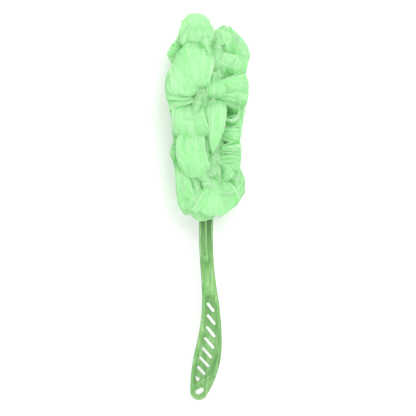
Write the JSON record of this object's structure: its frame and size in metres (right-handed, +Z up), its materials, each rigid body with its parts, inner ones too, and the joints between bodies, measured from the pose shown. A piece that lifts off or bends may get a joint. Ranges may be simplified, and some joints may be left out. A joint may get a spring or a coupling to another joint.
{
  "type": "loofah back scrubber",
  "caption": "Long curved plastic handle with drain slots and a hanging hole, carrying a long soft head of ruffled mesh netting tied along its stem.",
  "frame": {"origin": "middle of the bounding box's bottom, on the surface the head rests on", "axes": "+Y runs from the hanging hole to the end of the head, +Z is up with the scrubber lying on its back, +X completes a right-handed frame"},
  "size_m": [0.084, 0.4, 0.08],
  "materials": {
    "handle_plastic": "glossy, slightly cloudy translucent green",
    "netting": "fine pale mint knitted polyethylene mesh with a slight sheen",
    "tie_cord": "pale nylon cord"
  },
  "bodies": {
    "root": {"handle": "handle_plastic", "net_ruffle_1": "netting", "net_ruffle_2": "netting", "net_ruffle_3": "netting", "net_ruffle_4": "netting", "net_ruffle_5": "netting", "net_ruffle_6": "netting", "tie_cord_1": "tie_cord", "tie_cord_2": "tie_cord", "tie_cord_3": "tie_cord", "tie_cord_4": "tie_cord", "tie_cord_5": "tie_cord", "tie_cord_6": "tie_cord"}
  },
  "joints": []
}
